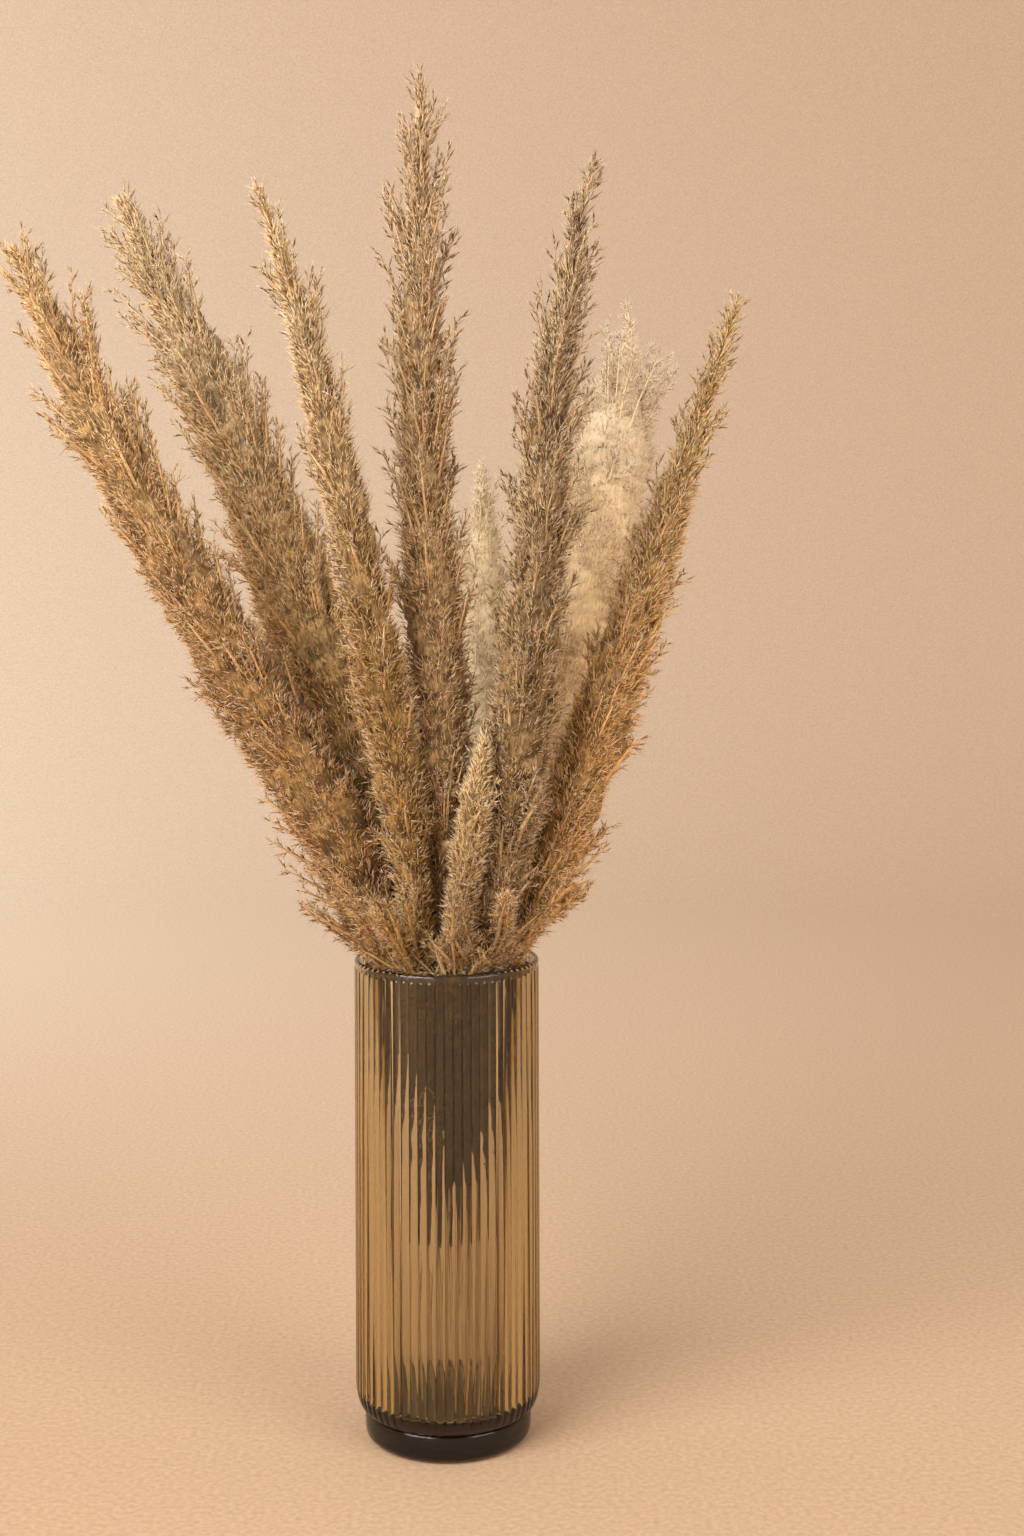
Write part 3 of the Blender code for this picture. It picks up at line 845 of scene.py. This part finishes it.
def growCoat(heap, plume, frame, core, shapes, rng):
    # husks and hairs all over the core, combed upwards where they stand bare, tangled where woolly
    f = plumeForm
    radius, tongue = core
    rings, sides = radius.shape
    count = plume["coat"]
    grid = np.linspace(0.01, f["coreEnd"] - 0.01, rings)
    crowd = np.cumsum(radius.mean(1) + 0.0035)
    share = np.interp(rng.uniform(0, 1, count), crowd / crowd[-1], grid)
    turn = anyTurn(rng, count)
    row = np.round((share - grid[0]) / (grid[-1] - grid[0]) * (rings - 1)).astype(int)
    row = np.clip(row, 0, rings - 1)
    column = np.round(turn / (2 * math.pi) * sides).astype(int) % sides
    step = tongue[row, column]
    out = around(frame, share, turn)
    felt = woolliness(plume, share)
    lean = np.radians(rng.uniform(*f["coatLean"], count) * (1 + 0.35 * felt) + 14 * step)[:, None]
    aim = at(frame["tangent"], share) * np.cos(lean) + out * np.sin(lean)
    tangle = np.radians(rng.uniform(0, 16, count) * (1 + 1.3 * felt))
    aim = tilted(unit(aim), tangle, anyTurn(rng, count))
    base = coreLine(plume, frame, share)[0]
    base = base + out * (radius[row, column] * rng.uniform(0.86, 1.06, count))[:, None]
    kind = rng.uniform(0, 1, count)
    dark = plume["dark"] * (0.8 - 0.3 * felt)
    husk = kind < f["coatHusks"]
    darkHusk, paleHusk, hair = [rng.uniform(low, high, count)
                                for low, high in ((0.12, 0.32), (0.32, 0.62), (0.60, 0.98))]
    tone = np.select([kind < dark, husk], [darkHusk, paleHusk], hair)
    tone = tone + footShade(share) + f["tongueShade"] * (step - 0.5)
    tone = np.maximum(tone, f["coatDarkest"])
    wide = np.where(husk, f["huskWidth"] * (1 - 0.22 * felt), f["hairWidth"] * 1.5)
    wide = wide * rng.uniform(0.75, 1.2, count) * fineness(plume)
    long = rng.uniform(*f["huskLength"], count) * np.where(husk, 1.0, 1.15)
    warm = np.clip(0.45 + 0.30 * np.sin(share * 40 + 2 * np.sin(turn)) + rng.normal(0, 0.2, count), 0, 1)
    stamp(heap, shapes["hair"], base, aim, long, wide, (tone, tone + 0.10), warm, rng)


def growPlume(plume, shapes):
    f = plumeForm
    rng = np.random.default_rng(plume["seed"])
    heap = {"points": [], "faces": [], "tone": [], "warm": [], "size": 0}
    frame = plumeFrame(plume)
    stalk = at(frame["line"], np.linspace(0, 0.965, 21))[None]
    tubes(heap, stalk, np.linspace(0.0016, 0.0003, 21)[None], 6, np.full((1, 21), 0.3), np.array([0.5]))
    core = growCore(heap, plume, frame, rng)
    growCoat(heap, plume, frame, core, shapes, rng)

    bend, end, reach, shade = growBranches(plume, frame, rng)
    count = len(bend)
    felt = woolliness(plume, end)
    warm = np.clip(rng.normal(0.45, 0.28, count), 0, 1)
    u = np.linspace(0, 1, 5)
    paths = along(bend[:, None], u[None, :, None])
    paths = paths + rng.normal(0, 0.0010, paths.shape) * np.sin(u * math.pi)[None, :, None]
    tone = 0.34 + 0.12 * u[None] + shade[:, None] + rng.normal(0, 0.08, (count, 5))
    fat = f["downRadius"][0] + f["downRadius"][1] * plume["width"] * plumeWidth(plume, end)
    fat = (fat * fineness(plume)**2 * (0.6 + 0.8 * felt))[:, None, None]
    fat = fat * rng.uniform(0.6, 1.4, (count, 5, 3))
    tubes(heap, paths, fat * np.array([0.3, 0.9, 1.0, 0.8, 0.2])[None, :, None], 3, tone, warm)

    # twigs all round each branch, from where it leaves the core
    lengths = np.linalg.norm(np.diff(paths, axis=1), axis=2).sum(1)
    hidden = 0.8 * coreRadius(plume, frame, end) / reach
    start = np.clip(-0.75 + np.sqrt(0.5625 + 2.5 * np.minimum(0.8, hidden)), 0.12, 0.62)
    each = np.maximum(3, (lengths * (1 - start) / f["twigGap"]).astype(int))
    owner = np.repeat(np.arange(count), each)
    rank = np.concatenate([np.arange(n) for n in each])
    u = start[owner] + (1 - start[owner]) * (rank + rng.uniform(0, 1, len(rank))) / each[owner]
    base = along(bend[owner], u[:, None])
    heading = unit((bend[owner, 1] - bend[owner, 0]) * (1 - u)[:, None]
                   + (bend[owner, 2] - bend[owner, 1]) * u[:, None])
    slant = np.radians(rng.uniform(*f["twigLean"], len(u)) * (1 + 0.25 * felt[owner]) * (1.15 - 0.45 * u))
    aim = tilted(heading, slant, rank * f["goldenTurn"] + rng.uniform(0, 1.2, len(u)))
    low, high = f["twigLength"]
    size = (high - (high - low) * u) * rng.uniform(0.75, 1.15, len(u))
    size *= 0.6 + 0.4 * np.minimum(1, reach[owner] / 0.02)
    dim = shade[owner]
    stamp(heap, shapes["hair"], base, aim, size, np.full(len(u), f["twigWidth"]),
          (0.28 + dim, 0.42 + dim), warm[owner], rng)

    # three small husks on each twig, dark where the plume is bare and soft brown where it is woolly
    seat = np.repeat(np.arange(len(u)), 3)
    place = np.tile([0.30, 0.62, 0.92], len(u))
    base = base[seat] + aim[seat] * (size[seat] * place)[:, None]
    wool, kin, dim = felt[owner][seat], warm[owner][seat], dim[seat]
    many = len(seat)
    slant = np.radians(rng.uniform(4, 22, many) * (1 + wool))
    aim = tilted(aim[seat], slant, anyTurn(rng, many))
    dark = rng.uniform(0, 1, many) < plume["dark"] * (1.15 - 0.45 * wool)
    tone = np.where(dark, rng.uniform(0.10, 0.30, many), rng.uniform(0.38, 0.84, many))
    tone = np.where(dim > -0.2, np.maximum(tone + 0.08 * wool + dim, 0.07), tone + dim)
    stamp(heap, shapes["husk"], base, aim, rng.uniform(*f["spikeletLength"], many) * (1 - 0.1 * wool),
          f["spikeletWidth"] * fineness(plume) * rng.uniform(0.75, 1.15, many) * (1 - 0.15 * wool),
          (tone, tone + 0.12), np.clip(kin + rng.normal(0, 0.2, many), 0, 1), rng)

    # silky hairs from the foot of the husks
    wanted = plume["hairs"] * (0.50 + 0.60 * wool) * (1 + 1.5 * np.minimum(0, dim + 0.1))
    each = np.floor(wanted + rng.uniform(0, 1, many)).astype(int)
    seat = np.repeat(np.arange(many), each)
    many = len(seat)
    slant = np.radians(rng.uniform(6, 34, many) * (1 + 0.9 * wool[seat]))
    silk = tilted(aim[seat], slant, anyTurn(rng, many))
    pale = rng.uniform(0.50, 1.0, many) + dim[seat]
    stamp(heap, shapes["hair"], base[seat], silk, rng.uniform(*f["hairLength"], many),
          f["hairWidth"] * rng.uniform(0.8, 1.2, many), (pale - 0.15, pale),
          np.clip(kin[seat] + rng.normal(0, 0.25, many), 0, 1), rng)
    grown = {key: np.concatenate(heap[key]) for key in ("points", "faces", "tone", "warm")}
    # a plume pales from its brown foot to its tip; the warmth says how far, and varies a little
    start, over = f["bleached"]
    low, high = frame["line"][0, 2], frame["line"][-1, 2]
    risen = np.clip(((grown["points"][:, 2] - low) / (high - low) - start) / over, 0, 1)
    grown["warm"] = 0.08 + 0.84 * risen + 0.45 * (grown["warm"] - 0.45)
    return grown


def plumeMaterial(name, plume):
    # dried pampas grass: matt husks and silky hairs of straw, which scatter light and never shine;
    # dark husks, brown down, pale silk and painted shade by the tone, and browner or paler straw by the
    # warmth
    material = startMaterial("driedPampas_" + name)
    # fibres are finer than the picture shows, so they are drawn about 2 mm apart and 9 mm long
    place = addNode(material, "TexCoord")
    run = Vector(plume["way"][-1]) - Vector(plume["way"][0])
    turned = addNode(material, "Mapping", {"vector_type": "POINT"},
                     {"Rotation": run.to_track_quat("Z", "Y").inverted().to_euler()},
                     [("Vector", place, "Object")])
    drawn = addNode(material, "Mapping", values={"Scale": (1.0, 1.0, 0.24)},
                    links=[("Vector", turned, "Vector")])
    fibre = addNode(material, "TexNoise",
                    values={"Scale": 480.0, "Detail": 2.0, "Distortion": 1.4},
                    links=[("Vector", drawn, "Vector")])
    streak = addNode(material, "MapRange",
                     values={"From Min": 0.32, "From Max": 0.68, "To Min": -0.18, "To Max": 0.22},
                     links=[("Value", fibre, "Fac")])
    given = addNode(material, "Attribute", {"attribute_name": "tone"})
    lit = addNode(material, "Math", {"operation": "MULTIPLY", "use_clamp": True}, {1: 3.5},
                  [(0, given, "Fac")])
    drawnStreak = addNode(material, "Math", {"operation": "MULTIPLY"},
                          links=[(0, streak, "Result"), (1, lit, "Value")])
    tone = addNode(material, "Math", {"operation": "ADD", "use_clamp": True},
                   links=[(0, given, "Fac"), (1, drawnStreak, "Value")])
    warm = addNode(material, "Attribute", {"attribute_name": "warm"})
    bump = addNode(material, "Bump", values={"Strength": 0.6, "Distance": 0.0010},
                   links=[("Height", fibre, "Fac")])
    cream = isCream(plume)
    dye = addNode(material, "Mix", {"data_type": "RGBA"},
                  {6: linearColor(plume["low"]), 7: linearColor(plume["high"])}, [(0, warm, "Fac")])
    shade = addNode(material, "ValToRGB", links=[("Fac", tone, "Value")])
    fillRamp(shade, plumeForm["creamTones" if cream else "huskTones"])
    straw = addNode(material, "Mix", {"data_type": "RGBA", "blend_type": "MULTIPLY"},
                    {0: 1.0}, [(6, dye, 2), (7, shade, "Color")])
    silky = addNode(material, "MapRange",
                    values={"From Min": 0.66, "From Max": 1.0, "To Min": 0.0, "To Max": 0.45},
                    links=[("Value", tone, "Value")])
    mix = addNode(material, "Mix", {"data_type": "RGBA"},
                  {7: linearColor(plumeForm["silk"])}, [(0, silky, "Result"), (6, straw, 2)])
    shader = addNode(material, "BsdfPrincipled",
                     values={"Roughness": 0.8, "Specular IOR Level": 0.15,
                             "Sheen Weight": 0.40 if cream else 0.10, "Sheen Roughness": 0.5},
                     links=[("Base Color", mix, 2), ("Normal", bump, "Normal")])
    addNode(material, "OutputMaterial", links=[("Surface", shader, "BSDF")])
    return material


def addPlume(name, plume, shapes):
    grown = growPlume(plume, shapes)
    points, faces = grown["points"], grown["faces"]
    mesh = bpy.data.meshes.new(name + "_plume")
    mesh.vertices.add(len(points))
    mesh.vertices.foreach_set("co", points.ravel())
    mesh.loops.add(len(faces) * 3)
    mesh.loops.foreach_set("vertex_index", faces.ravel())
    mesh.polygons.add(len(faces))
    mesh.polygons.foreach_set("loop_start", np.arange(0, len(faces) * 3, 3))
    mesh.update(calc_edges=True)
    mesh.polygons.foreach_set("use_smooth", np.ones(len(faces), bool))
    for key in ("tone", "warm"):
        grown[key] = np.clip(grown[key], 0, 1)
        mesh.attributes.new(key, "FLOAT", "POINT").data.foreach_set("value", grown[key])
    # across the map goes the tone and up it the warmth, so that a bake holds every shade there is
    corner = np.arange(len(points)) % 3 * 2 * math.pi / 3
    chart = np.stack([0.02 + 0.96 * grown["tone"] + 0.003 * np.cos(corner),
                      0.02 + 0.96 * grown["warm"] + 0.003 * np.sin(corner)], 1)
    mesh.uv_layers.new(name="OFBake").data.foreach_set("uv", chart[faces.ravel()].ravel())
    mesh.materials.append(plumeMaterial(name, plume))
    piece = bpy.data.objects.new(name + "_plume", mesh)
    bpy.context.collection.objects.link(piece)
    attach(piece, "root")
    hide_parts("plume_" + name)
    print(name, "plume grown,", len(faces), "triangles")
    return len(faces)


# Canes: each stands on the floor of the vase and leans across it to its plume, with a joint here and there
canes = {
    "footRadius": 0.0024,
    "neckRadius": 0.0018,
    "gap": 0.0003,                # metres between a cane and the floor, and between it and its plume
    "sides": 12,
    "steps": 26,
    "joints": (0.16, 0.47, 0.80),   # shares of the way up where a leaf once grew
    "swelling": 1.28,
    "straw": [(0.0, "#c9a877"), (0.50, "#b89160"), (0.74, "#6b4a2c"), (1.0, "#3d2816")],
}


def caneMaterial():
    # dried grass cane: smooth pale straw with lengthwise veins about 0.7 mm apart, and darker towards the
    # top
    material = startMaterial("driedCane")
    place = addNode(material, "TexCoord")
    height = addNode(material, "SeparateXYZ", links=[("Vector", place, "Object")])
    share = addNode(material, "MapRange",
                    values={"From Min": vase["floorHeight"], "From Max": vase["height"]},
                    links=[("Value", height, "Z")])
    ramp = addNode(material, "ValToRGB", links=[("Fac", share, "Result")])
    fillRamp(ramp, canes["straw"])
    veins = addNode(material, "Mapping", values={"Scale": (1400, 1400, 40)},
                    links=[("Vector", place, "Object")])
    noise = addNode(material, "TexNoise", values={"Scale": 1.0, "Detail": 2.0},
                    links=[("Vector", veins, "Vector")])
    shade = addNode(material, "MapRange",
                    values={"From Min": 0.3, "From Max": 0.7, "To Min": 0.78, "To Max": 1.08},
                    links=[("Value", noise, "Fac")])
    tint = addNode(material, "Mix", {"data_type": "RGBA", "blend_type": "MULTIPLY"}, {0: 1.0},
                   [(6, ramp, "Color"), (7, shade, "Result")])
    bump = addNode(material, "Bump", values={"Strength": 0.3, "Distance": 0.0002},
                   links=[("Height", noise, "Fac")])
    shader = addNode(material, "BsdfPrincipled", values={"Roughness": 0.5},
                     links=[("Base Color", tint, 2), ("Normal", bump, "Normal")])
    addNode(material, "OutputMaterial", links=[("Surface", shader, "BSDF")])
    return material


def addCane(name, plume, material):
    # a short disc on the vase floor, drawn up along the cane's way step by step
    c = canes
    points = [(*plume["foot"], vase["floorHeight"] + c["gap"]), *plume["way"]]
    way = smoothPath(points, c["steps"], 0, 1)
    shares = np.linspace(0, 1, c["steps"])
    radii = c["footRadius"] + (c["neckRadius"] - c["footRadius"]) * shares
    for joint in c["joints"]:
        radii = radii * (1 + (c["swelling"] - 1) * np.exp(-((shares - joint) / 0.018) ** 2))
    way[-1, 2] -= c["gap"]
    deselectAll()
    bpy.ops.mesh.primitive_circle_add(vertices=c["sides"], radius=radii[0], fill_type="NGON",
                                      location=way[0])
    piece = bpy.context.object
    piece.name = name + "_cane"
    bpy.ops.object.transform_apply(location=True, rotation=True, scale=True)
    bpy.ops.object.mode_set(mode="EDIT")
    bpy.ops.mesh.select_all(action="SELECT")
    for step in range(1, c["steps"]):
        bpy.ops.mesh.extrude_region_move(TRANSFORM_OT_translate={"value": tuple(way[step] - way[step - 1])})
        scale = radii[step] / radii[step - 1]
        bpy.ops.transform.resize(value=(scale, scale, 1), center_override=tuple(way[step]))
    bpy.ops.mesh.select_all(action="SELECT")
    bpy.ops.mesh.normals_make_consistent(inside=False)
    bpy.ops.object.mode_set(mode="OBJECT")
    bpy.ops.object.shade_smooth_by_angle(angle=math.radians(50))
    piece.data.materials.append(material)
    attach(piece, "root")
    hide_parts("stem_" + name)


addCamera()
addStudio()
addVase()
caneStraw = caneMaterial()
for plumeName, plumeSpec in plumes.items():
    addCane(plumeName, plumeSpec, caneStraw)
print("canes drawn")
grassShapes = {"hair": modelledOnce("hair"), "husk": modelledOnce("husk")}
allTriangles = sum(addPlume(plumeName, plumeSpec, grassShapes) for plumeName, plumeSpec in plumes.items())
print("all plumes,", allTriangles, "triangles")
